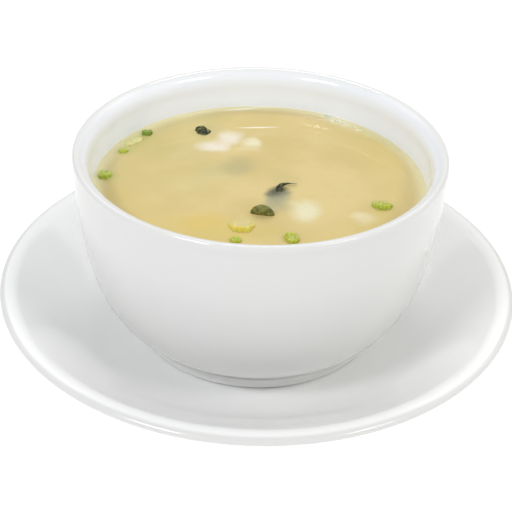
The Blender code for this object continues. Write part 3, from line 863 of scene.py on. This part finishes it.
def foam_material():
    """Pale foam and crumbs."""
    shader = Shader("foam", IOR=1.2, Subsurface_Weight=0.3, Subsurface_Scale=0.002)
    tone = shader.ramp(shader.noise(0.8 * MM), 0.35, 0.65)
    colour = shader.mix(tone, (0.80, 0.72, 0.46), (0.92, 0.85, 0.63))
    polish = shader.ramp(tone, 0.0, 1.0, 0.8, 0.6)
    return shader.use(Base_Color=colour, Roughness=polish)


def add_crumbs():
    """Crumbs of tofu and foam gathered along the wall at the back right."""
    chance = random.Random(7)
    parts = []
    for index in range(CRUMB_COUNT):
        t = chance.random() ** 2.2
        angle = math.radians(64 - 22 * t)
        radius = 55.4 - 2.6 * t - abs(chance.gauss(0, 0.8))
        size = chance.uniform(0.45, 1.05) * (1 - 0.65 * t)
        part = bmesh.new()
        bmesh.ops.create_icosphere(part, subdivisions=3, radius=size * MM)
        for vert in part.verts:
            lump = 1 + 0.3 * noise.noise(vert.co / (0.6 * MM) + Vector((index, 0, 0)))
            vert.co = Vector((vert.co.x * lump * 1.6, vert.co.y * lump, vert.co.z * lump * 0.4))
        turn = Matrix.Rotation(angle + math.pi / 2, 4, "Z")
        place = on_soup(radius * math.cos(angle), radius * math.sin(angle), 0.03)
        part.transform(Matrix.Translation(place) @ turn)
        parts.append(part)
    finish_piece("tofu_crumbs", join(parts), foam_material(), "tofu")


# ---------------------------------------------------------------- camera, light and floor

CAMERA_AIM = Vector((-0.6, 0.0, 32.0)) * MM
CAMERA_DISTANCE = 453.0 * MM
CAMERA_PITCH = math.radians(33.3)
CAMERA_ROLL = math.radians(1.7)
CAMERA_LENS = 91.4                  # on a 36 mm sensor


def add_camera():
    """The camera looks down from the -Y side, slightly rolled."""
    data = bpy.data.cameras.new("camera")
    data.lens = CAMERA_LENS
    data.sensor_width = 36.0
    data.clip_start = 0.01
    camera = bpy.data.objects.new("camera", data)
    bpy.context.collection.objects.link(camera)
    turn = Matrix.Rotation(math.pi / 2 - CAMERA_PITCH, 4, "X") @ Matrix.Rotation(CAMERA_ROLL, 4, "Z")
    back = turn @ Vector((0.0, 0.0, CAMERA_DISTANCE))
    camera.matrix_world = Matrix.Translation(CAMERA_AIM + back) @ turn
    bpy.context.scene.camera = camera


def add_softbox(name, azimuth, elevation, distance, size, watts, colour=(1, 1, 1)):
    """An area light aimed at the bowl; azimuth 0 is the camera's side, positive to its right."""
    data = bpy.data.lights.new(name, "AREA")
    data.shape = "RECTANGLE"
    data.size, data.size_y = size
    data.energy = watts
    data.color = colour
    light = bpy.data.objects.new(name, data)
    bpy.context.collection.objects.link(light)
    azimuth, elevation = math.radians(azimuth), math.radians(elevation)
    away = Vector((math.sin(azimuth) * math.cos(elevation), -math.cos(azimuth) * math.cos(elevation),
                   math.sin(elevation)))
    light.location = away * distance + Vector((0, 0, 40 * MM))
    light.rotation_euler = away.to_track_quat("Z", "Y").to_euler()


def add_floor():
    """A plain white floor."""
    builder = bmesh.new()
    bmesh.ops.create_circle(builder, cap_ends=True, radius=6.0, segments=96)
    mesh = bpy.data.meshes.new("floor")
    builder.to_mesh(mesh)
    builder.free()
    shader = Shader("floor_white", Roughness=0.9, Specular_IOR_Level=0.1)
    tone = shader.mix(shader.noise(0.4, detail=1.0), (0.40, 0.40, 0.40), (0.42, 0.42, 0.42))
    shader.surface.inputs["Emission Color"].default_value = (1, 1, 1, 1)
    shader.surface.inputs["Emission Strength"].default_value = 0.68
    mesh.materials.append(shader.use(Base_Color=tone))
    floor = bpy.data.objects.new("floor", mesh)
    floor.location.z = -0.05 * MM
    bpy.context.collection.objects.link(floor)


LIGHT_COOL = (0.96, 0.98, 1.0)
LIGHT_WARM = (1.0, 0.985, 0.95)


def add_studio():
    """White surroundings and softboxes, the two main ones at the front corners."""
    scene = bpy.context.scene
    scene.view_settings.view_transform = "Standard"
    world = bpy.data.worlds.new("studio")
    scene.world = world
    world.use_nodes = True
    background = world.node_tree.nodes["Background"]
    background.inputs["Color"].default_value = (1, 1, 1, 1)
    background.inputs["Strength"].default_value = 0.37
    add_softbox("softbox_left", -45, 45, 0.9, (0.28, 0.12), 2.6, LIGHT_COOL)
    add_softbox("softbox_right", 55, 45, 0.9, (0.26, 0.12), 1.5, LIGHT_WARM)
    add_softbox("wide_front", 0, 50, 0.9, (1.40, 1.00), 1.15)
    add_softbox("wide_back", 180, 38, 0.9, (1.60, 0.45), 0.6)
    add_softbox("wide_low", 0, 25, 1.2, (1.40, 0.50), 0.5)
    add_softbox("wide_left", -90, 30, 0.9, (1.00, 0.80), 0.5)
    add_softbox("wide_right", 90, 30, 0.9, (1.00, 0.80), 1.5, LIGHT_WARM)
    add_softbox("back", 180, 56, 0.9, (0.34, 0.12), 1.5)
    add_softbox("back_left", -135, 45, 0.9, (0.50, 0.30), 0.6)
    add_softbox("back_right", 135, 45, 0.9, (0.50, 0.30), 0.7)


# ---------------------------------------------------------------- pieces

def add_porcelain():
    """The bowl and the saucer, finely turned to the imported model's outlines."""
    finish_piece("bowl_glazed", turned(bowl_outline(), BOWL_STEPS),
                 porcelain_material("bowl_glaze", *BOWL_GLAZE), "porcelain", "bowl")
    finish_piece("saucer_glazed", turned(saucer_outline(), SAUCER_STEPS),
                 porcelain_material("saucer_glaze", *SAUCER_GLAZE_PAINTED_LIGHT), "porcelain", "saucer")


add_porcelain()
add_tofu()
add_soup(add_leaves() + add_onions())
add_sunk_leaves()
add_crumbs()
add_camera()
add_floor()
add_studio()
